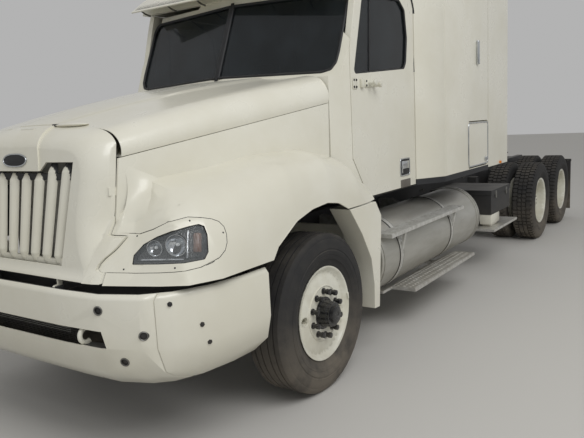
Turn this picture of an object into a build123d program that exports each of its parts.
from build123d import *
import math
import os

# Semi truck tractor unit, conventional cab with an integral raised-roof sleeper.
# Millimetres. The truck faces -Y, its left side is +X, the road is Z = 0.
# Lengths along the truck are stations measured from the front axle; save() then
# moves every piece so that the origin lies on the road under the truck's middle.

# Driving dimensions
OVERALL_LENGTH = 9080
BUMPER_FRONT = -1455
FRAME_END = BUMPER_FRONT + OVERALL_LENGTH
ORIGIN_STATION = (BUMPER_FRONT + FRAME_END) / 2

TYRE_RADIUS = 510
BEAD_RADIUS = 290
STEER_TYRE_X = 1030
DUAL_INNER_X = 745
DUAL_OUTER_X = 1088
KINGPIN_X = 905
KINGPIN_RADIUS = 20
TANDEM_STATIONS = (5500, 6820)

RAIL_WEB_X = 432
RAIL_FLANGE = 82
RAIL_WALL = 9
RAIL_BOTTOM = 715
RAIL_TOP = 980
RAIL_START = -1230

PANEL = 12
COWL_STATION = 415
DOOR_FRONT = 655
DOOR_REAR = 1750
DOOR_X = 1030
DOOR_WALL = 50
CAB_FLOOR_Z = 1130
CAB_MOUNT_STATIONS = (620, 1980, 3150)
SCREEN_CENTRE = 418
SCREEN_SWEEP = 0.1425
SLEEPER_X = 1190
SLEEPER_WALL = 50
SLEEPER_REAR = 3330
EXTENDER_REAR = 3970
ROOF_HIGH_Z = 3880
BAGGAGE_BOX = (2636, 3250, 1195, 1632)

TANK_RADIUS = 299
TANK_X = 860
TANK_Z = 660
TANK_FRONT = 820
TANK_REAR = 3070
STRAP_STATIONS = (1150, 2260)

FIFTH_WHEEL_STATION = 5960
FIFTH_WHEEL_PIVOT_Z = 1110
FIFTH_WHEEL_TOP_Z = 1210
KINGPIN_DIAMETER = 50.8

HOOD_HINGE = (-1395, 940)
HINGE_PIN_RADIUS = 14

GAP = 8
SEAM = 4


def block(x0, x1, y0, y1, z0, z1):
    """Box between two corners."""
    size = (abs(x1 - x0), abs(y1 - y0), abs(z1 - z0))
    return Pos((x0 + x1) / 2, (y0 + y1) / 2, (z0 + z1) / 2) * Box(*size)


def prism_x(outline, x0, x1):
    """Outline of (station, height) points, extruded across the truck."""
    face = make_face(Polyline(*[(x0, y, z) for y, z in outline], close=True))
    return extrude(face, amount=abs(x1 - x0), dir=(math.copysign(1, x1 - x0), 0, 0))


def prism_y(outline, y0, y1):
    """Outline of (x, height) points, extruded along the truck."""
    face = make_face(Polyline(*[(x, y0, z) for x, z in outline], close=True))
    return extrude(face, amount=abs(y1 - y0), dir=(0, math.copysign(1, y1 - y0), 0))


def prism_z(outline, z0, z1):
    """Plan outline of (x, station) points, extruded upwards."""
    face = make_face(Polyline(*[(x, y, z0) for x, y in outline], close=True))
    return extrude(face, amount=z1 - z0, dir=(0, 0, 1))


def rod_x(radius, x0, x1, y, z):
    """Round bar across the truck."""
    length = abs(x1 - x0)
    return Pos((x0 + x1) / 2, y, z) * Rot(0, 90, 0) * Cylinder(radius, length)


def rod_y(radius, x, y0, y1, z):
    """Round bar along the truck."""
    return Pos(x, (y0 + y1) / 2, z) * Rot(90, 0, 0) * Cylinder(radius, abs(y1 - y0))


def rod_z(radius, x, y, z0, z1):
    """Upright round bar."""
    return Pos(x, y, (z0 + z1) / 2) * Cylinder(radius, abs(z1 - z0))


def turned_x(profile, y, z):
    """Solid turned about an axle line, from (x, radius) points."""
    face = make_face(Polyline(*[(x, y, z + r) for x, r in profile], close=True))
    return revolve(face, Axis((0, y, z), (1, 0, 0)), 360)


def band(points, thickness):
    """Closed outline of a thin wall: points, then the same line set off to its right."""
    count = len(points)
    inner = []
    for i, (u, v) in enumerate(points):
        ahead = points[min(i + 1, count - 1)]
        back = points[max(i - 1, 0)]
        normals = []
        for (u0, v0), (u1, v1) in ((back, (u, v)), ((u, v), ahead)):
            run = math.hypot(u1 - u0, v1 - v0)
            if run > 0:
                normals.append(((v1 - v0) / run, (u0 - u1) / run))
        nu = sum(n[0] for n in normals) / len(normals)
        nv = sum(n[1] for n in normals) / len(normals)
        square = nu * nu + nv * nv
        inner.append((u + nu * thickness / square, v + nv * thickness / square))
    return points + inner[::-1]


def skin_face(place, line, thickness):
    """Section of a thin skin: a smooth line and the same line set off to its right.

    place turns a (u, v) pair of the line into a point of the truck.
    """
    outline = [place(u, v) for u, v in band(line, thickness)]
    outer = Spline(*outline[:len(line)])
    inner = Spline(*outline[len(line):])
    return make_face([outer, Line(outer @ 1, inner @ 0), inner, Line(inner @ 1, outer @ 0)])


def mirrored(shape):
    """The same piece on the other side of the truck."""
    return mirror(shape, about=Plane.YZ)


def both(shape):
    """A left-hand piece with its right-hand twin."""
    return Compound(children=[shape, mirrored(shape)])


def save(node, shape):
    """Write one node on the truck's own origin."""
    export_step(shape.moved(Location((0, -ORIGIN_STATION, 0))), f"parts/{node}.step")


def save_pair(stem, shape):
    """Write a left-hand piece and its mirror image as two nodes."""
    save(f"{stem}_left", shape)
    save(f"{stem}_right", mirrored(shape))


os.makedirs("parts", exist_ok=True)


# Ladder frame: two channel rails and the members between them
def rail(side):
    outline = [
        (side * RAIL_WEB_X, RAIL_BOTTOM),
        (side * RAIL_WEB_X, RAIL_TOP),
        (side * (RAIL_WEB_X - RAIL_FLANGE), RAIL_TOP),
        (side * (RAIL_WEB_X - RAIL_FLANGE), RAIL_TOP - RAIL_WALL),
        (side * (RAIL_WEB_X - RAIL_WALL), RAIL_TOP - RAIL_WALL),
        (side * (RAIL_WEB_X - RAIL_WALL), RAIL_BOTTOM + RAIL_WALL),
        (side * (RAIL_WEB_X - RAIL_FLANGE), RAIL_BOTTOM + RAIL_WALL),
        (side * (RAIL_WEB_X - RAIL_FLANGE), RAIL_BOTTOM),
    ]
    return prism_y(outline, RAIL_START, FRAME_END)


save_pair("frame_rail", rail(1))

# Member station, half height, half depth
CROSSMEMBERS = [
    (-1150, 60, 40),
    (1950, 50, 60),
    (3300, 90, 60),
    (4700, 90, 60),
    (6160, 100, 90),
    (7540, 110, 60),
]
MEMBER_WALL = 14
RAIL_MID_Z = (RAIL_TOP + RAIL_BOTTOM) / 2
web_face = RAIL_WEB_X - RAIL_WALL
members = []
for station, half_height, half_depth in CROSSMEMBERS:
    low = RAIL_MID_Z - half_height
    high = RAIL_MID_Z + half_height
    member = block(-web_face, web_face, station - half_depth, station + half_depth, low, high)
    hollow = block(-web_face + 60, web_face - 60, station - half_depth + MEMBER_WALL, station + half_depth,
                   low + MEMBER_WALL, high - MEMBER_WALL)
    members.append(member - hollow)
save("crossmembers", Compound(children=members))


# Steered front axle: a dropped I-beam between the kingpin eyes
AXLE_Z = TYRE_RADIUS
BEAM_DROP = 120
beam_line = [
    (-KINGPIN_X + 50, AXLE_Z + 55),
    (-700, AXLE_Z + 40),
    (-540, AXLE_Z - BEAM_DROP + 100),
    (540, AXLE_Z - BEAM_DROP + 100),
    (700, AXLE_Z + 40),
    (KINGPIN_X - 50, AXLE_Z + 55),
    (KINGPIN_X - 50, AXLE_Z - 55),
    (700, AXLE_Z - 60),
    (540, AXLE_Z - BEAM_DROP),
    (-540, AXLE_Z - BEAM_DROP),
    (-700, AXLE_Z - 60),
    (-KINGPIN_X + 50, AXLE_Z - 55),
]
axle = prism_y(beam_line, -55, 55)
for side in (-1, 1):
    axle -= block(side * 80, side * 500, -60, -20, AXLE_Z - BEAM_DROP + 22, AXLE_Z - BEAM_DROP + 78)
    axle -= block(side * 80, side * 500, 20, 60, AXLE_Z - BEAM_DROP + 22, AXLE_Z - BEAM_DROP + 78)
    axle += rod_z(52, side * KINGPIN_X, 0, AXLE_Z - 58, AXLE_Z + 58)
    axle -= rod_z(KINGPIN_RADIUS + 1, side * KINGPIN_X, 0, AXLE_Z - 60, AXLE_Z + 60)
axle += block(-470, -390, -100, 100, AXLE_Z - 30, AXLE_Z - 10)
axle += block(390, 470, -100, 100, AXLE_Z - 30, AXLE_Z - 10)


# Driven rear axles: housing, differential and brake backing plates
def drive_axle(station):
    half = [(210, 190), (300, 95), (590, 75), (590, 42), (800, 40), (800, 0)]
    housing = turned_x([(-x, r) for x, r in half[::-1]] + half, station, AXLE_Z)
    bowl = Pos(60, station, AXLE_Z) * Rot(90, 0, 0) * Cone(205, 150, 170)
    nose = rod_y(70, 60, station - 330, station, AXLE_Z + 10)
    return housing + bowl + nose


save("axles", Compound(children=[axle] + [drive_axle(y) for y in TANDEM_STATIONS]))


# Springs: leaf packs in front, trailing beams and air bags behind
def front_spring(side):
    x0 = side * (RAIL_WEB_X - 40)
    x1 = side * (RAIL_WEB_X + 40)
    outline = [(-720, 650), (-380, 560), (0, 520), (380, 560), (720, 650),
               (720, 690), (400, 612), (0, 575), (-400, 612), (-720, 690)]
    pack = prism_x(outline, x0, x1)
    front_eye = block(x0, x1, -760, -690, 640, RAIL_BOTTOM)
    rear_eye = block(x0, x1, 690, 760, 640, RAIL_BOTTOM)
    clamp = block(x0, x1, -70, 70, AXLE_Z - 10, 525)
    return pack + front_eye + rear_eye + clamp


def rear_spring(side, station):
    x0 = side * (RAIL_WEB_X + 12)
    x1 = side * (RAIL_WEB_X + 112)
    beam = prism_x([(station - 620, 600), (station - 540, 590), (station, 610), (station + 110, 590),
                    (station + 190, 400), (station + 400, 400), (station + 400, 440), (station + 220, 450),
                    (station + 130, 650), (station - 60, 680), (station - 560, 660)], x0, x1)
    hanger = block(x0 - side * 12, x1, station - 640, station - 540, 560, 880)
    bag = rod_z(72, side * (RAIL_WEB_X + 78), station + 320, 440, 710)
    mount = block(side * RAIL_WEB_X, side * (RAIL_WEB_X + 130), station + 260, station + 380, 700, 900)
    return beam + hanger + bag + mount


springs = [front_spring(side) for side in (-1, 1)]
springs += [rear_spring(side, y) for side in (-1, 1) for y in TANDEM_STATIONS]
save("springs", Compound(children=springs))


# Driveline shafts, engine and gearbox as plain blocks at their real size
def shaft(y0, z0, y1, z1, radius):
    run = Line((0, y0, z0), (0, y1, z1))
    return sweep(Plane(origin=run @ 0, z_dir=run % 0) * Circle(radius), path=run)


main_shaft = shaft(1760, 720, 5165, 560, 55)
inter_shaft = Pos(60, 0, 0) * shaft(5725, 560, 6485, 530, 50)
save("driveline", Compound(children=[main_shaft, inter_shaft]))

engine = block(-300, 300, -860, 390, 700, 1540)
engine += block(-190, 190, -760, 390, 570, 700)
engine += prism_x([(390, 560), (390, 1110), (900, 1060), (1750, 900), (1750, 640), (900, 600)], -230, 230)
for side in (-1, 1):
    engine += block(side * 290, side * web_face, -320, -200, 780, 920)
    engine += block(side * 220, side * web_face, 1500, 1600, 760, 900)
save("engine", engine)

radiator = block(-340, 340, -1050, -950, 740, 1000) + block(-440, 440, -1050, -950, RAIL_TOP, 1560)
radiator += block(-330, 330, -1090, -1050, 1040, 1480)
# Oil cooler hung between the bumper arms
radiator += block(-RAIL_WEB_X, RAIL_WEB_X, -1352, -1312, 690, 800)
save("radiator", radiator)


# Front bumper: a bent shell with rounded ends and tucked-under lower edge
BUMPER_TOP = 955
BUMPER_LOW = 470
# Plan line of the outer face: x, station
BUMPER_PLAN = [(0, -1455), (500, -1450), (760, -1430), (960, -1350), (1080, -1240), (1160, -1060),
               (1197, -830),
               (1200, -640)]
# Height, inward tuck of the face
BUMPER_FACE = [(BUMPER_TOP, 22), (BUMPER_TOP - 30, 0), (690, 0), (560, 30), (BUMPER_LOW, 130)]


def bumper_plan(tuck):
    line = []
    for i, (x, y) in enumerate(BUMPER_PLAN):
        ax, ay = BUMPER_PLAN[max(i - 1, 0)]
        bx, by = BUMPER_PLAN[min(i + 1, len(BUMPER_PLAN) - 1)]
        run = math.hypot(bx - ax, by - ay)
        line.append((x - tuck * (by - ay) / run, y + tuck * (bx - ax) / run))
    line[0] = (0, line[0][1])
    return line


def bumper_layer(z, tuck):
    half = bumper_plan(tuck)
    outer = half + [(half[-1][0], -560)]
    outline = [(-x, y) for x, y in outer[:0:-1]] + outer
    return make_face(Polyline(*[(x, y, z) for x, y in outline], close=True))


def bumper_solid(inset):
    layers = [bumper_layer(z, tuck + inset) for z, tuck in BUMPER_FACE]
    pieces = [loft([a, b], ruled=True) for a, b in zip(layers, layers[1:])]
    solid = pieces[0]
    for piece in pieces[1:]:
        solid += piece
    return solid


bumper_outer = bumper_solid(0)
bumper_inner = bumper_solid(10)
bumper = bumper_outer - bumper_inner
bumper -= block(-1300, 1300, -640, -400, 300, 1200)
bumper -= prism_y([(-790, 690), (-770, 776), (770, 776), (790, 690)], -1700, -1300)
# Round openings of the face: x, height, radius
BUMPER_HOLES = [(766, 880, 20), (970, 759, 20), (860, 622, 20)]
for x, z, radius in BUMPER_HOLES:
    bumper -= both(rod_y(radius, x, -1700, -1200, z))
end_cut = 1010
bumper_centre = bumper & block(-end_cut, end_cut, -1700, -500, 300, 1200)
ARM_WALL = 12
HOOK_X = 622
HOOK_Z = 731
HOOK_BAR = 13
HOOK_REACH = 36
HOOK_STATION = -1402


def tow_hook():
    """Bent bar that comes forward from the rail and curls down behind the bumper opening."""
    curl = Pos(HOOK_X, HOOK_STATION, HOOK_Z) * Rot(0, 90, 0) * Torus(HOOK_REACH, HOOK_BAR)
    mouth = block(HOOK_X - 20, HOOK_X + 20, HOOK_STATION, HOOK_STATION + 60, HOOK_Z - 60, HOOK_Z + 8)
    shank = rod_y(HOOK_BAR, HOOK_X, HOOK_STATION, RAIL_START - 10, HOOK_Z + HOOK_REACH)
    foot = block(RAIL_WEB_X, HOOK_X + HOOK_BAR, RAIL_START - 20, RAIL_START + 8, HOOK_Z + 15, 840)
    return curl - mouth + shank + foot


# Arms to the rails, with the lugs and pins that the hood tilts on
hinge_y, hinge_z = HOOD_HINGE
arm = block(RAIL_WEB_X, RAIL_WEB_X + ARM_WALL, -1446, RAIL_START + 260, 820, 930)
arm += block(RAIL_WEB_X, RAIL_WEB_X + ARM_WALL, hinge_y - 22, hinge_y + 22, 925, hinge_z + 20)
arm += rod_x(HINGE_PIN_RADIUS, 390, RAIL_WEB_X + 1, hinge_y, hinge_z)
for side_part in (arm, tow_hook()):
    bumper_centre += side_part
    bumper_centre += mirrored(side_part)
save("bumper_centre", bumper_centre)
bumper_end = bumper & block(end_cut + 4, 1300, -1700, -500, 300, 1200)
save("bumper_ends", both(bumper_end))


# Hood: the nose, the top panel and two side panels with their fenders
# Station, seam x, seam height, shoulder x, shoulder height, crown height, half width of the raised middle
HOOD_STATIONS = [
    (-1130, 685, 1590, 640, 1705, 1765, 150),
    (-400, 835, 1705, 790, 1850, 1925, 298),
    (COWL_STATION, 985, 1835, 930, 1995, 2040, 430),
]
PLATEAU_RISE = 9


def hood_line(row, inset):
    """Half section of the hood's top from the seam to the middle."""
    _, seam_x, seam_z, shoulder_x, shoulder_z, crown_z, _ = row
    return [
        (seam_x - inset, seam_z),
        (seam_x - inset, seam_z + (shoulder_z - seam_z) * 0.5),
        (shoulder_x - inset * 0.5, shoulder_z - inset * 0.9),
        (shoulder_x * 0.78, crown_z - (crown_z - shoulder_z) * 0.42 - inset),
        (shoulder_x * 0.4, crown_z - (crown_z - shoulder_z) * 0.1 - inset),
        (0, crown_z - inset),
    ]


def hood_strip(row, inset, shift):
    station = row[0] + shift
    right = hood_line(row, inset)
    points = right + [(-x, z) for x, z in right[-2::-1]]
    over = Spline(*[(x, station, z) for x, z in points])
    return make_face([over, Line(over @ 1, over @ 0)])


def hood_loft(inset, reach):
    faces = []
    for i, row in enumerate(HOOD_STATIONS):
        faces.append(hood_strip(row, inset, (-reach, 0, reach)[i]))
    return loft(faces)


def plateau_strip(row):
    """Section of the raised middle, with its feet inside the hood's skin."""
    station, _, _, shoulder_x, shoulder_z, crown_z, half = row
    drop = (crown_z - shoulder_z) * 0.1 * (half / (shoulder_x * 0.4)) ** 2
    foot = (half + 26, station, crown_z - drop * 1.25 - 5)
    edge = (half, station, crown_z - drop + PLATEAU_RISE)
    over = ThreePointArc(edge, (0, station, crown_z + PLATEAU_RISE), (-edge[0], station, edge[2]))
    low = Polyline(over @ 1, (-foot[0], station, foot[2]), (foot[0], station, foot[2]), over @ 0)
    return make_face([over, *low.edges()])


hood_top = hood_loft(0, 0) + loft([plateau_strip(row) for row in HOOD_STATIONS]) - hood_loft(PANEL, 30)

# Side wall under the seam: station, top x, top height, foot x, foot height
WALL_STATIONS = [
    (-1215, 668, 1573, 664, 1250),
    (-400, 835, 1702, 862, 1520),
    (COWL_STATION, 985, 1832, 975, 1440),
]
wall_faces = []
for station, top_x, top_z, foot_x, foot_z in WALL_STATIONS:
    outline = [(top_x, top_z), (foot_x, foot_z), (foot_x - PANEL, foot_z), (top_x - PANEL, top_z)]
    wall_faces.append(make_face(Polyline(*[(x, station, z) for x, z in outline], close=True)))
side_wall = loft(wall_faces)

# Rear face of the nose: it leans back as it rises
NOSE_BASE_Z = 1270
NOSE_REAR = -1196
NOSE_LEAN = 0.14


def nose_rear(z):
    return NOSE_REAR + NOSE_LEAN * (z - NOSE_BASE_Z)


def ahead_of_seam(gap):
    """Everything in front of the nose's rear face, moved back by a gap."""
    outline = [(-1700, 900), (nose_rear(900) + gap, 900), (nose_rear(1900) + gap, 1900), (-1700, 1900)]
    return prism_x(outline, -900, 900)


side_wall -= ahead_of_seam(SEAM)

# Fender sections fanned round the front corner: pivot x, station, heading in
# degrees from straight outwards, then (reach, height) points from the side wall out
FENDER_SECTIONS = [
    (630, -1000, 90.0, [(142, 1330), (180, 1290), (213, 1240), (253, 1180), (298, 1115), (344, 1050),
                        (394, 985)]),
    (700, -1000, 90.0, [(134, 1330), (172, 1290), (205, 1240), (245, 1180), (290, 1115), (335, 1050),
                        (385, 985)]),
    (700, -1000, 64.6, [(12, 1376), (60, 1350), (130, 1295), (200, 1215), (255, 1140), (308, 1065),
                        (362, 985)]),
    (700, -1000, 38.4, [(8, 1410), (50, 1390), (150, 1340), (250, 1245), (315, 1160), (368, 1075),
                        (415, 985)]),
    (700, -1000, 23.3, [(8, 1438), (70, 1417), (200, 1365), (320, 1275), (392, 1180), (438, 1085),
                        (480, 985)]),
    (700, -1000, 2.2, [(8, 1462), (75, 1445), (230, 1395), (365, 1305), (437, 1205), (478, 1100),
                       (506, 985)]),
    (700, -760, 0, [(45, 1492), (110, 1475), (260, 1445), (385, 1375), (458, 1260), (492, 1125), (503, 985)]),
    (700, -350, 0, [(100, 1545), (160, 1535), (310, 1515), (425, 1450), (480, 1330), (500, 1160),
                    (503, 985)]),
    (700, 50, 0, [(140, 1558), (200, 1550), (330, 1530), (440, 1465), (488, 1340), (500, 1160), (503, 985)]),
    (700, COWL_STATION, 0, [(200, 1495), (260, 1480), (345, 1445), (440, 1378), (486, 1280), (499, 1140),
                            (503, 985)]),
    (700, 705, 0, [(290, 1305), (335, 1285), (375, 1257), (418, 1212), (455, 1160), (480, 1105), (497, 985)]),
]
SURROUND_GROOVE = 5
CHEEK_RISE = 16
CORNER_ROWS = FENDER_SECTIONS[:6]
CHEEK_ROWS = FENDER_SECTIONS[:3]


def fender_loft(thickness, rise=0.0, rows=FENDER_SECTIONS):
    """Fender skin of a given thickness through the sections, its face raised by some amount."""
    faces = []
    for pivot_x, station, heading, points in rows:
        across = math.cos(math.radians(heading))
        ahead = -math.sin(math.radians(heading))
        line = band(points, -rise)[:len(points) - 1:-1] if rise else points
        place = lambda r, z: (pivot_x + r * across, station + r * ahead, z)
        faces.append(skin_face(place, line, thickness + rise))
    return loft(faces, ruled=True)


fender_skin = fender_loft(PANEL)

# Headlamp and its surround on the front corner: (distance along the chord, height)
LAMP_CHORD = (0.835, 0.55)
LAMP_OUTLINE = [(16, 1077), (20, 1117), (70, 1167), (139, 1199), (219, 1227), (287, 1242), (335, 1248),
                (362, 1236), (377, 1195), (381, 1120), (364, 1088)]
SURROUND_OUTLINE = [(31, 1042), (229, 1048), (348, 1057), (424, 1084), (457, 1134), (458, 1202),
                    (424, 1247), (365, 1276),
                    (284, 1286), (194, 1270), (114, 1233), (41, 1210), (-60, 1212), (-160, 1212),
                    (-160, 1042)]
LAMP_DEPTH = 70
LAMP_GAP = 4
GROOVE_WIDTH = 3
SURROUND_MIDDLE = (150, 1160)


def lamp_prism(outline):
    """Outline of the lamp on its chord, extruded through the front corner."""
    along_x, along_y = LAMP_CHORD
    points = [(u * along_x + 1000 * along_y, u * along_y - 1000 * along_x, z) for u, z in outline]
    return extrude(make_face(Polyline(*points, close=True)), amount=900, dir=(along_y, -along_x, 0))


# Front view of the line where the nose ends on the fender: x, height
NOSE_EDGE = [(668, 1204), (765, 1200), (743, 1156), (728, 1133), (700, 1103), (682, 1078), (679, 1053),
             (700, 1043),
             (727, 1039), (736, 985)]


def nose_zone(gap, rise):
    """Room of the nose in front view, grown by the seam gap."""
    outer = [(x + gap, z + (gap if z > 1190 else 0)) for x, z in NOSE_EDGE]
    outline = [(0, 1900), (668 + gap, 1900)] + outer + [(736 + gap, 900), (0, 900)]
    return prism_y(outline, -1700, -1000) & ahead_of_seam(rise)


# Wheel arch: station, height
ARCH_LINE = [(-650, 900), (-610, 962), (-535, 1050), (-344, 1160), (-170, 1205), (5, 1220), (140, 1200),
             (265, 1145),
             (900, 1150), (900, 900)]
fender = side_wall + fender_skin
fender -= prism_x(ARCH_LINE, 600, 1300)
LIP_Z = 985
fender -= block(500, 1300, -1600, 900, 800, LIP_Z)
cab_flank = [(998, COWL_STATION + 2), (1042, DOOR_FRONT), (1042, 1000), (0, 1000), (0, COWL_STATION + 2)]
fender -= prism_z(cab_flank, 900, 2200)
fender -= nose_zone(SEAM, SEAM)
lamp_middle_u = sum(u for u, z in LAMP_OUTLINE) / len(LAMP_OUTLINE)
lamp_middle_z = sum(z for u, z in LAMP_OUTLINE) / len(LAMP_OUTLINE)
lamp_foot, lamp_end = LAMP_OUTLINE[0], LAMP_OUTLINE[-1]
lamp_slope = (lamp_end[1] - lamp_foot[1]) / (lamp_end[0] - lamp_foot[0])
# The lamp stands on the hole's lower edge, with a gap at the sides and the top
lamp_hole = []
for u, z in LAMP_OUTLINE:
    shift = math.copysign(LAMP_GAP, u - lamp_middle_u)
    lift = shift * lamp_slope if (u, z) in (lamp_foot, lamp_end) else 0
    lamp_hole.append((u + shift, z + (LAMP_GAP if z > lamp_middle_z else lift)))
fender -= lamp_prism(lamp_hole)
surround_hole = []
for u, z in SURROUND_OUTLINE:
    outwards = math.copysign(GROOVE_WIDTH, u - SURROUND_MIDDLE[0])
    upwards = math.copysign(GROOVE_WIDTH, z - SURROUND_MIDDLE[1])
    surround_hole.append((u + outwards, z + upwards))
ring = lamp_prism(surround_hole) - lamp_prism(SURROUND_OUTLINE)
groove = ring & fender_loft(SURROUND_GROOVE, 2, CORNER_ROWS)
fender -= groove - nose_zone(SEAM * 3, SEAM * 3)
save_pair("fender", fender)

# Top panel, seated on the side walls by brackets behind the seam
for station, x, z in ((-700, 735, 1655), (-100, 850, 1752)):
    bracket = block(x, x + 28, station - 40, station + 40, z - 40, z + 30)
    for piece in (bracket - side_wall, mirrored(bracket - side_wall)):
        hood_top += piece
save("hood_top", hood_top)

# Nose section: base station, lean, then half outline (x, height)
NOSE_SECTIONS = [
    (NOSE_REAR, NOSE_LEAN, [(0, 1762), (300, 1755), (480, 1742), (600, 1716), (660, 1670), (684, 1600),
                            (687, 1500),
                            (675, 1380), (662, 1270), (668, 1200), (690, 985)]),
    (-1262, 0.15, [(0, 1735), (300, 1728), (470, 1715), (570, 1690), (622, 1645), (647, 1580), (647, 1490),
                   (634, 1380), (622, 1270), (640, 1180), (690, 985)]),
    (-1308, 0.155, [(0, 1690), (290, 1684), (450, 1672), (528, 1648), (572, 1606), (592, 1550), (592, 1480),
                    (580, 1370), (572, 1270), (590, 1170), (670, 985)]),
    (-1324, 0.155, [(0, 1645), (280, 1640), (420, 1630), (485, 1612), (522, 1580), (540, 1535), (540, 1470),
                    (528, 1370), (518, 1270), (535, 1170), (630, 985)]),
]
TAB_RISE = 8
# Raised middle of the nose, from the hood's raised middle down to the tab over the grille: x, height
TAB_OUTLINE = [(-150, 1900), (150, 1900), (205, 1600), (215, 1500), (-215, 1500), (-205, 1600)]


def nose_face(station, lean, half, inset, shift):
    """Leaning section of the nose; the lower end of an inset one goes through the open bottom."""
    points = []
    for x, z in half:
        fall = inset if z > 1600 else 0
        if z < 1000 and inset > 0:
            fall = 40
        points.append((max(x - inset, 0) if x else 0, z - fall))
    whole = [(-x, z) for x, z in points[:0:-1]] + points
    over = Spline(*[(x, station + shift + lean * (z - NOSE_BASE_Z), z) for x, z in whole])
    return make_face([over, Line(over @ 1, over @ 0)])


def nose_loft(inset, shifts):
    faces = [nose_face(*row, inset, shift) for row, shift in zip(NOSE_SECTIONS, shifts)]
    return loft(faces)


nose = nose_loft(0, (0, 0, 0, 0))
nose += nose_loft(-TAB_RISE, (0, -TAB_RISE, -TAB_RISE, -TAB_RISE)) & prism_y(TAB_OUTLINE, -1500, -1000)
nose -= nose_loft(PANEL, (60, PANEL, PANEL, PANEL))
GRILLE_TOP_Z = 1575
GRILLE_TAB_Z = 1530
GRILLE_LOW_Z = 1050
GRILLE_OUTLINE = [(-490, GRILLE_TOP_Z), (-265, GRILLE_TOP_Z), (-215, GRILLE_TAB_Z), (215, GRILLE_TAB_Z),
                  (265, GRILLE_TOP_Z),
                  (490, GRILLE_TOP_Z), (420, GRILLE_LOW_Z), (-420, GRILLE_LOW_Z)]
nose -= prism_y(GRILLE_OUTLINE, -1500, -1150)
nose -= block(-900, 900, -1130, -900, 1500, 1900)

# Sill under the grille and the cheeks that end on the fenders
SILL_LIP_Z = 994
SILL_LINE = [(-1352, 1046), (-1392, 1010), (-1398, SILL_LIP_Z), (-1384, SILL_LIP_Z), (-1380, 1006),
             (-1348, 1034)]
sill = prism_x(SILL_LINE, -690, 690)
cheek = fender_loft(PANEL, CHEEK_RISE, CHEEK_ROWS) & nose_zone(0, 0)
nose = nose + sill + cheek + mirrored(cheek)
nose &= nose_zone(0, 0) + mirrored(nose_zone(0, 0))
nose -= block(-900, 900, -1600, -1000, 800, SILL_LIP_Z)
# Hinge straps down to the pins of the bumper arms, and brackets behind the seams
# Strap outline from the hinge pin: back, up. It bends round behind the bumper's top edge.
STRAP_LINE = [(-18, -18), (20, -18), (36, 4), (38, 50), (40, 94), (10, 64), (13, 58), (13, 20), (-10, 18), (-18, 8)]
strap = prism_x([(hinge_y + back, hinge_z + up) for back, up in STRAP_LINE], 400, 414)
strap -= rod_x(HINGE_PIN_RADIUS + 1, 380, 440, hinge_y, hinge_z)
seam_y = nose_rear(1420)
seam_bracket = block(640, 667, seam_y - 40, seam_y + 60, 1400, 1440) - side_wall
top_bracket = block(-60, 60, -1190, -1080, 1728, 1754) - hood_top
for piece in (strap, mirrored(strap), seam_bracket, mirrored(seam_bracket), top_bracket):
    nose += piece
save("hood_nose", nose)


# Grille: eight round-backed bars whose ends taper, the middle four under the tab
def bar_face(x, z, half, recess):
    """Section of one bar: an arched front and a flat back, on the nose's leaning face."""
    back = -1324 + 0.155 * (z - NOSE_BASE_Z) + 34
    front = ThreePointArc((x - half, back, z), (x, back - 28 + recess, z), (x + half, back, z))
    return make_face([front, Line(front @ 1, front @ 0)])


BAR_COUNT = 8
BAR_PITCH_TOP = 118
BAR_PITCH_LOW = 101
BAR_TAPER = 42
grille = block(-455, 455, -1262, -1236, GRILLE_TAB_Z - 50, GRILLE_TAB_Z - 14)
grille += block(-425, 425, -1330, -1310, GRILLE_LOW_Z - 4, GRILLE_LOW_Z + 26)
for index in range(BAR_COUNT):
    place = index - (BAR_COUNT - 1) / 2
    high = GRILLE_TOP_Z - 6 if abs(place) > 2 else GRILLE_TAB_Z - 8
    low = GRILLE_LOW_Z + 4
    sections = []
    rows = [(low, 24, 18), (low + BAR_TAPER, 33, 0), (high - BAR_TAPER, 38, 0), (high, 26, 18)]
    for z, half, recess in rows:
        share = (z - GRILLE_LOW_Z) / (GRILLE_TOP_Z - GRILLE_LOW_Z)
        x = place * (BAR_PITCH_LOW + (BAR_PITCH_TOP - BAR_PITCH_LOW) * share)
        sections.append(bar_face(x, z, half, recess))
    grille += loft(sections, ruled=True)
save("grille", grille - nose)

# Headlamps in the front corners, flush with the fender skin
lamp = fender_loft(LAMP_DEPTH, 0, CORNER_ROWS) & lamp_prism(LAMP_OUTLINE)
save("headlamps", both(lamp))


# Cab and sleeper: one hollow body, split where its panels meet
CAB_PLAN = [(985, 425), (1030, 655), (1030, 1750), (1190, 2030), (1190, SLEEPER_REAR - 75),
            (1115, SLEEPER_REAR)]
# Side outline: station, height, from the foot of the cowl over the roof
CAB_SIDE = [(425, CAB_FLOOR_Z), (425, 2030), (700, 2662), (745, 2800)]
ROOF_BROW = [(745, 2800), (940, 3150), (1200, 3530), (1540, 3780), (1950, ROOF_HIGH_Z)]
ROOF_TAIL = [(SLEEPER_REAR - 160, ROOF_HIGH_Z), (SLEEPER_REAR, ROOF_HIGH_Z - 90), (SLEEPER_REAR, CAB_FLOOR_Z)]
# Cross outline: x, height, from the side up to the roof's flat
CAB_CROSS_SIDE = [(1190, CAB_FLOOR_Z), (1190, 2900)]
CAB_CROSS_TURN = [(1190, 2900), (1170, 3260), (1105, 3590), (985, 3800), (800, ROOF_HIGH_Z)]
ROOF_SPLIT_Z = 2830
# The windscreen stands on a sloping ledge and ends under the visor's brow
LEDGE_CENTRE_Z = 2036
LEDGE_FALL = 0.026
BROW_Z = 2690
SCREEN_SLOPE = (2662 - 2030) / (700 - 425)


def screen_y(x, z):
    """Station of the windscreen's face: raked, and swept back to both sides."""
    return SCREEN_CENTRE + SCREEN_SWEEP * x + (z - LEDGE_CENTRE_Z) / SCREEN_SLOPE


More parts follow.
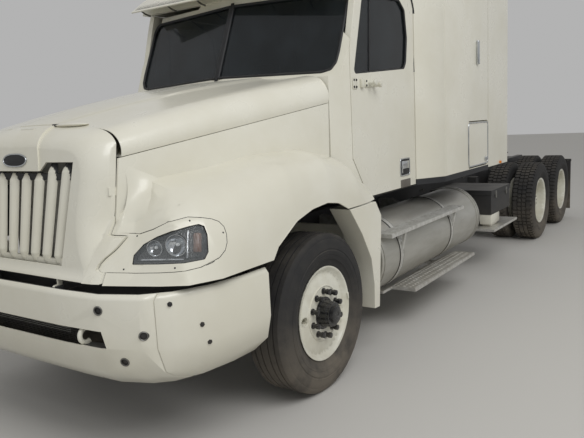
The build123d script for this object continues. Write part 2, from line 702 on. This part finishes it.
def ahead_of_screen(inset):
    """Room in front of the left windscreen, between the ledge and the brow."""
    reach = 1300
    faces = []
    for centre_z, fall in ((LEDGE_CENTRE_Z - inset, LEDGE_FALL), (BROW_Z - inset * 0.5, 0)):
        outer_z = centre_z - fall * reach
        corners = [(0, 100, centre_z), (0, screen_y(0, centre_z) + inset, centre_z),
                   (reach, screen_y(reach, outer_z) + inset, outer_z), (reach, 100, outer_z)]
        faces.append(make_face(Polyline(*corners, close=True)))
    return loft(faces, ruled=True)


def side_face(inset):
    """Side outline of the cab with a smooth brow, moved inwards by the wall."""
    front = [(y + inset, z + (inset if z < 1200 else 0)) for y, z in CAB_SIDE]
    brow = [(y + inset * 0.8, z - (inset * 0.6 if z > 2900 else 0)) for y, z in ROOF_BROW]
    brow[0] = front[-1]
    brow[-1] = (ROOF_BROW[-1][0], ROOF_HIGH_Z - inset)
    tail = []
    for y, z in ROOF_TAIL:
        tail.append((y - (inset if y > SLEEPER_REAR - 10 else 0), z - (inset if z > 3300 else -inset)))
    over = Spline(*[(-1300, y, z) for y, z in brow], tangents=[(0, 0.5, 1), (0, 1, 0)])
    rest = Polyline(over @ 1, *[(-1300, y, z) for y, z in tail + front[:-1]], over @ 0)
    return make_face([over, *rest.edges()])


def cross_face(inset):
    """Cross outline of the cab with rounded roof edges."""
    foot_z = CAB_FLOOR_Z + inset
    turn = [(x - inset, z - (inset if z > 3700 else 0)) for x, z in CAB_CROSS_TURN]
    right = Spline(*[(x, 300, z) for x, z in turn], tangents=[(0, 0, 1), (-1, 0, 0.15)])
    left = Spline(*[(-x, 300, z) for x, z in turn[::-1]], tangents=[(-1, 0, -0.15), (0, 0, -1)])
    top = Line(right @ 1, left @ 0)
    low = Polyline(left @ 1, (-turn[0][0], 300, foot_z), (turn[0][0], 300, foot_z), right @ 0)
    return make_face([right, top, left, *low.edges()])


def cab_solid(inset):
    """The cab's outer form, or the space inside it at a given wall thickness."""
    half = []
    for x, y in CAB_PLAN:
        shift = inset if y < 700 else -inset if y > SLEEPER_REAR - 10 else 0
        half.append((x - inset, y + shift))
    plan = prism_z(half + [(-x, y) for x, y in half[::-1]], CAB_FLOOR_Z + inset, ROOF_HIGH_Z + 10)
    profile = extrude(side_face(inset), amount=2600, dir=(1, 0, 0))
    cross = extrude(cross_face(inset), amount=3900, dir=(0, 1, 0))
    return (plan & profile & cross) - ahead_of_screen(inset) - mirrored(ahead_of_screen(inset))


cab = cab_solid(0) - cab_solid(SLEEPER_WALL)

# Door opening and door: station, height
DOOR_OUTLINE = [
    (DOOR_FRONT, 1440), (870, CAB_FLOOR_Z + 10), (DOOR_REAR, CAB_FLOOR_Z + 10), (DOOR_REAR, 2620),
    (1700, 2690),
    (800, 2690), (748, 2530), (DOOR_FRONT, 2200),
]
WINDOW_OUTLINE = [(702, 2030), (858, 2560), (900, 2600), (1490, 2626), (1590, 2560), (1627, 2343),
                  (1600, 2150),
                  (1560, 2098)]
WINDOW_CORNER = 28
BAGGAGE_CORNER = 42


def grown(outline, amount):
    """An outline of (station, height) points moved outwards from its middle."""
    mid_y = (min(y for y, z in outline) + max(y for y, z in outline)) / 2
    mid_z = (min(z for y, z in outline) + max(z for y, z in outline)) / 2
    half_y = (max(y for y, z in outline) - min(y for y, z in outline)) / 2
    half_z = (max(z for y, z in outline) - min(z for y, z in outline)) / 2
    scale_y = (half_y + amount) / half_y
    scale_z = (half_z + amount) / half_z
    return [(mid_y + (y - mid_y) * scale_y, mid_z + (z - mid_z) * scale_z) for y, z in outline]


def window_room(x0, x1):
    """The side window's outline with rounded corners, through the door."""
    room = prism_x(WINDOW_OUTLINE, x0, x1)
    return fillet(room.edges().filter_by(Axis.X), WINDOW_CORNER)


def baggage_panel(x0, x1, grow):
    """The baggage door's outline with rounded corners, grown by some amount."""
    y0, y1, z0, z1 = BAGGAGE_BOX
    panel = block(x0, x1, y0 - grow, y1 + grow, z0 - grow, z1 + grow)
    return fillet(panel.edges().filter_by(Axis.X), BAGGAGE_CORNER + grow)


door_hole = prism_x(grown(DOOR_OUTLINE, GAP), 900, 1100)
bag_hole = baggage_panel(1050, 1300, GAP)
for hole in (door_hole, bag_hole):
    cab -= hole
    cab -= mirrored(hole)

# Windscreen: two panes in a raked frame that is swept back to both sides
SCREEN_POST = 14
# Left pane in front view: x, height
SCREEN_OUTLINE = [(SCREEN_POST, 2072), (860, 2050), (925, 2064), (955, 2110), (962, 2180), (962, 2540),
                  (945, 2590),
                  (900, 2612), (SCREEN_POST, 2625)]


def screen_slab(front, rear):
    """Slab along the left windscreen's face, between two depths behind it."""
    faces = []
    for z in (2000, 2700):
        corners = [(0, screen_y(0, z) + front, z), (1010, screen_y(1010, z) + front, z),
                   (1010, screen_y(1010, z) + rear, z), (0, screen_y(0, z) + rear, z)]
        faces.append(make_face(Polyline(*corners, close=True)))
    return loft(faces, ruled=True)


pane_room = prism_y(SCREEN_OUTLINE, 200, 1200)
screen_hole = screen_slab(-60, SLEEPER_WALL + 40) & pane_room
cab -= screen_hole
cab -= mirrored(screen_hole)
pane = screen_slab(14, 22) & pane_room
save("windshield", both(pane))

front_zone = prism_x([(200, 1180), (900, 1180), (760, 1500), (760, 2690), (820, ROOF_SPLIT_Z),
                      (200, ROOF_SPLIT_Z)],
                     -1300, 1300)
front_zone += block(-970, 970, 200, 1000, 2500, BROW_Z + 10)
middle_zone = block(-1300, 1300, 200, 4500, 1180, ROOF_SPLIT_Z)
rear_zone = block(-1140, 1140, SLEEPER_REAR - SLEEPER_WALL, SLEEPER_REAR + 10, 1180, ROOF_SPLIT_Z)
# The floor stands on three pairs of mounts on the frame rails
floor = cab & block(-1300, 1300, 300, 4500, 1100, 1180)
for side in (-1, 1):
    for station in CAB_MOUNT_STATIONS:
        floor += block(side * 350, side * RAIL_WEB_X, station - 50, station + 50, RAIL_TOP, CAB_FLOOR_Z + 10)
save("cab_floor", floor)
save("cab_roof", cab & block(-1300, 1300, 300, 4500, ROOF_SPLIT_Z, 4000))
save("cab_front", cab & front_zone)
save("cab_rear", cab & rear_zone)
side_panels = (cab & middle_zone) - front_zone - rear_zone
save("cab_side_left", side_panels & block(0, 1300, 0, 4500, 1000, 3000))
save("cab_side_right", side_panels & block(-1300, 0, 0, 4500, 1000, 3000))

# Sun visor over the windscreen: station, height
VISOR_LINE = [(780, 2812), (742, 2812), (560, 2690), (552, 2700), (700, 2806), (742, 2826), (780, 2826)]
save("visor", prism_x(VISOR_LINE, -1000, 1000) - cab_solid(0))

# Doors with their glass, and the baggage doors of the sleeper
door = prism_x(DOOR_OUTLINE, DOOR_X - DOOR_WALL, DOOR_X) - window_room(900, 1100)
save_pair("door", door)
save_pair("door_glass", window_room(DOOR_X - 24, DOOR_X - 18))
save_pair("baggage_door", baggage_panel(SLEEPER_X - 30, SLEEPER_X, 0))

# Inside the cab
DASHBOARD_LINE = [(475, 1500), (475, 1900), (560, 1960), (820, 1930), (880, 1850), (860, 1640), (760, 1500)]
dashboard = prism_x(DASHBOARD_LINE, -920, 920)
wheel_plane = Plane(origin=(480, 1000, 1930), x_dir=(1, 0, 0), z_dir=(0, 0.62, 0.78))
steering = wheel_plane * Torus(225, 15) + wheel_plane * Pos(0, 0, -30) * Cylinder(60, 60)
for angle in (0, 120, 240):
    steering += wheel_plane * Rot(0, 0, angle) * Pos(130, 0, -10) * Box(190, 34, 12)
column = wheel_plane * Pos(0, 0, -130) * Cylinder(32, 150)
save("steering_wheel", steering + column)
save("dashboard", dashboard - column)


def seat(x):
    base = block(x - 200, x + 200, 1180, 1560, 1180, 1420)
    cushion = block(x - 260, x + 260, 1120, 1620, 1420, 1560)
    back = prism_x([(1560, 1560), (1700, 1560), (1790, 2300), (1690, 2300), (1560, 1620)], x - 250, x + 250)
    return base + cushion + back


save("seats", Compound(children=[seat(480), seat(-480)]))
save("bunk", block(-1140, 1140, 2560, SLEEPER_REAR - 76, 1740, 1890))


# Fuel tanks: dished ends, a weld bead at each end, a filler neck in front
TANK_DISH = 8
TANK_KNUCKLE = 14
BEAD_STAND = 6
BEAD_STATIONS = (TANK_FRONT + 34, TANK_REAR - 90, TANK_REAR - 34)
FILLER_STATION = 985


def tank_half(end, inward):
    """Half of the tank's section at one end: axis point, dish, knuckle."""
    mid = (TANK_X, end + inward * TANK_DISH * 0.25, TANK_Z + TANK_RADIUS * 0.46)
    edge = (TANK_X, end + inward * TANK_DISH, TANK_Z + TANK_RADIUS - TANK_KNUCKLE)
    dish = ThreePointArc((TANK_X, end, TANK_Z), mid, edge)
    rim = (TANK_X, end + inward * (TANK_DISH + TANK_KNUCKLE), TANK_Z + TANK_RADIUS)
    turn = TangentArc(dish @ 1, rim, tangent=(0, inward * 0.35, 1))
    return dish, turn


front_dish, front_turn = tank_half(TANK_FRONT, 1)
rear_dish, rear_turn = tank_half(TANK_REAR, -1)
tank_line = [front_dish, front_turn, Line(front_turn @ 1, rear_turn @ 1), rear_turn, rear_dish,
             Line(rear_dish @ 0, front_dish @ 0)]
tank = revolve(make_face(tank_line), Axis((TANK_X, 0, TANK_Z), (0, 1, 0)), 360)
for station in BEAD_STATIONS:
    tank += rod_y(TANK_RADIUS + BEAD_STAND, TANK_X, station - 11, station + 11, TANK_Z)
tank += rod_z(52, TANK_X + 90, FILLER_STATION, TANK_Z + 200, TANK_Z + TANK_RADIUS + 12)
tank += rod_z(62, TANK_X + 90, FILLER_STATION, TANK_Z + TANK_RADIUS + 12, TANK_Z + TANK_RADIUS + 38)
save("fuel_tanks", both(tank))

# Tank straps on bent brackets, with an upper and a lower step plank
STEP_UPPER_Z = 863
STEP_LOWER_Z = 353
STEP_EDGE_X = 1212
STEP_THICK = 28
STRAP_HALF = 25
STRAP_WALL = 5
BRACKET_LINE = [(RAIL_WEB_X, 940), (560, 940), (640, 900), (600, 780), (580, 560), (660, 420), (760, 372),
                (960, 352),
                (1000, 345), (1000, STEP_LOWER_Z - STEP_THICK), (700, 325), (RAIL_WEB_X, 560)]
GUSSET_LINE = [(1080, STEP_UPPER_Z - STEP_THICK + 2), (1200, STEP_UPPER_Z - STEP_THICK + 2), (1168, 690),
               (1150, 680)]
GUSSET_HOLE = [(1132, 818), (1176, 818), (1162, 742)]
steps = block(1060, STEP_EDGE_X, 870, 2440, STEP_UPPER_Z - STEP_THICK, STEP_UPPER_Z)
steps += block(1000, STEP_EDGE_X, 1280, 2740, STEP_LOWER_Z - STEP_THICK, STEP_LOWER_Z)
steps += block(970, 1002, STRAP_STATIONS[0] - 20, 2700, STEP_LOWER_Z - STEP_THICK, STEP_LOWER_Z - 6)
for station in STRAP_STATIONS:
    steps += rod_y(TANK_RADIUS + 1 + STRAP_WALL, TANK_X, station - STRAP_HALF, station + STRAP_HALF, TANK_Z)
    steps += prism_y(BRACKET_LINE, station - 30, station + 30)
    steps += prism_y(GUSSET_LINE, station - 15, station + 15)
    steps -= prism_y(GUSSET_HOLE, station - 40, station + 40)
steps -= rod_y(TANK_RADIUS + 1, TANK_X, 700, 3200, TANK_Z)
save("tank_steps", both(steps))

# Battery box with its overlapping lid
BOX_RIM = 6
battery_box = block(RAIL_WEB_X, 1130, 3560, 4280, 600, 860)
battery_box += block(RAIL_WEB_X + 40, 1130 + BOX_RIM, 3560 - BOX_RIM, 4280 + BOX_RIM, 812, 868)
save("battery_box", battery_box)
side_step = block(880, 1215, 3400, 4300, 440, 467)
for station in (3620, 4220):
    side_step += block(900, 940, station - 20, station + 20, 440, 600)
save("side_step", side_step)

# Fixed rear pieces of the front wheel arches
EXTENSION_INNER_X = 1040
EXTENSION_OUTLINE = [(275, 1136), (650, 1140), (731, 1031), (700, 700), (667, 375), (590, 380), (596, 560),
                     (560, 750),
                     (440, 940), (340, 1060)]
EXTENSION_HOLLOW = [(300, 1126), (645, 1128), (715, 1028), (686, 700), (655, 387), (604, 390), (610, 562),
                    (573, 757),
                    (452, 950), (352, 1070)]
extension = prism_x(EXTENSION_OUTLINE, EXTENSION_INNER_X, 1200) - prism_x(EXTENSION_HOLLOW, 970, 1190)
extension += block(RAIL_WEB_X, 1190, 640, 655, 860, 960)
save("fender_extensions", both(extension))

# Deck plate, side extenders, exhaust and mud flaps behind the cab
save("deck_plate", block(-430, 430, 3480, 4640, RAIL_TOP, RAIL_TOP + 30))
extender = prism_z([(1190, 3262), (1190, EXTENDER_REAR), (1166, EXTENDER_REAR), (1166, 3286)], 1150, 3560)
extender += block(1080, 1166, SLEEPER_REAR, SLEEPER_REAR + 30, 1300, 1360)
extender += block(1080, 1166, SLEEPER_REAR, SLEEPER_REAR + 30, 2400, 2460)
save("side_extenders", both(extender))

stack = rod_z(65, -880, 3560, 1000, 3900) + rod_z(130, -880, 3560, 1350, 2500)
stack += block(-960, -RAIL_WEB_X, 3500, 3620, 900, 1000)
save("exhaust", stack)

flaps = []
for side in (-1, 1):
    flap = block(side * 610, side * 1225, 7445, 7457, 125, 915)
    flap += block(side * RAIL_WEB_X, side * 1225, 7457, 7497, 875, 915)
    flaps.append(flap)
save("mud_flaps", Compound(children=flaps))


# Fifth wheel: fixed base and tilting plate
fs = FIFTH_WHEEL_STATION
base = block(-430, 430, fs - 380, fs + 380, RAIL_TOP, RAIL_TOP + 16)
STAND_LINE = [(fs - 170, RAIL_TOP + 10), (fs + 170, RAIL_TOP + 10), (fs + 45, FIFTH_WHEEL_PIVOT_Z + 24),
              (fs - 45, FIFTH_WHEEL_PIVOT_Z + 24)]
for side in (-1, 1):
    base += prism_x(STAND_LINE, side * 330, side * 400)
base -= rod_x(26, -420, 420, fs, FIFTH_WHEEL_PIVOT_Z)
save("fifth_wheel_base", base)
plate_plan = [(-300, fs - 400), (300, fs - 400), (455, fs - 150), (455, fs + 60), (330, fs + 460),
              (150, fs + 470),
              (30, fs + 120), (-30, fs + 120), (-150, fs + 470), (-330, fs + 460), (-455, fs + 60),
              (-455, fs - 150)]
plate = prism_z(plate_plan, FIFTH_WHEEL_TOP_Z - 22, FIFTH_WHEEL_TOP_Z)
plate += block(-320, 320, fs - 120, fs + 110, FIFTH_WHEEL_PIVOT_Z - 10, FIFTH_WHEEL_TOP_Z - 20)
plate -= block(-30, 30, fs, fs + 140, 1000, 1300)
plate -= rod_z(KINGPIN_DIAMETER / 2, 0, fs, 1000, 1300)
plate += rod_x(25, -398, -300, fs, FIFTH_WHEEL_PIVOT_Z) + rod_x(25, 300, 398, fs, FIFTH_WHEEL_PIVOT_Z)
save("fifth_wheel_plate", plate)


# Steering knuckles with their spindles
knuckle = rod_z(48, KINGPIN_X, 0, AXLE_Z + 64, AXLE_Z + 120)
knuckle += rod_z(48, KINGPIN_X, 0, AXLE_Z - 120, AXLE_Z - 64)
knuckle += block(KINGPIN_X + 10, KINGPIN_X + 60, -46, 46, AXLE_Z - 120, AXLE_Z + 120)
knuckle -= rod_z(57, KINGPIN_X, 0, AXLE_Z - 64, AXLE_Z + 64)
knuckle += rod_z(KINGPIN_RADIUS, KINGPIN_X, 0, AXLE_Z - 110, AXLE_Z + 110)
knuckle += rod_x(38, KINGPIN_X + 59, 1105, 0, AXLE_Z)
save_pair("knuckle", knuckle)


# Tyres: (offset from the tyre's middle, radius)
TYRE_PROFILE = [(106, BEAD_RADIUS), (145, 385), (134, 480), (108, TYRE_RADIUS)]


def tyre(middle_x, station):
    half = [(middle_x + dx, r) for dx, r in TYRE_PROFILE]
    return turned_x(half + [(middle_x - dx, r) for dx, r in TYRE_PROFILE[::-1]], station, TYRE_RADIUS)


# Wheels: (x, radius) sections of rim, disc, hub and brake drum
STEER_WHEEL = [
    (914, 301), (914, 290), (926, 272), (1060, 268), (1085, 262), (1100, 225), (965, 218), (965, 200),
    (1085, 196),
    (1085, 60), (1000, 60), (1000, 42), (1110, 42), (1110, 0), (1235, 0), (1235, 55), (1215, 78),
    (1140, 84), (1140, 105),
    (1138, 165), (1128, 235), (1120, 262), (1130, 274), (1142, 284), (1151, 291), (1151, 301), (1145.5, 301),
    (1138, 289.5), (922, 289.5), (919.5, 301),
]
front_wheel = turned_x(STEER_WHEEL, 0, TYRE_RADIUS)
for side in (-1, 1):
    front_wheel -= rod_x(26, 1080, 1200, side * 215, TYRE_RADIUS)
save_pair("tyre_front", tyre(STEER_TYRE_X, 0))
save_pair("wheel_front", front_wheel)

DUAL_WHEEL = [
    (624, 301), (624, 290), (641, 272), (800, 268), (850, 255), (890, 225), (700, 218), (610, 214),
    (610, 196), (700, 190),
    (880, 180), (880, 60), (620, 60), (620, 50), (905, 50), (905, 0), (1135, 0), (1140, 88), (1118, 100),
    (945, 112),
    (945, 165), (958, 225), (985, 262), (1196, 272), (1209, 290), (1209, 301), (1203.5, 301), (1196, 289.5),
    (980, 289.5),
    (972.5, 301), (967, 301), (967, 290), (940, 240), (930, 190), (912, 190), (905, 240), (875, 290),
    (866, 301),
    (860.5, 301), (853, 289.5), (637, 289.5), (629.5, 301),
]
for index, station in enumerate(TANDEM_STATIONS, start=1):
    save_pair(f"wheel_rear{index}", turned_x(DUAL_WHEEL, station, TYRE_RADIUS))
    pair = Compound(children=[tyre(DUAL_INNER_X, station), tyre(DUAL_OUTER_X, station)])
    save_pair(f"tyres_rear{index}", pair)
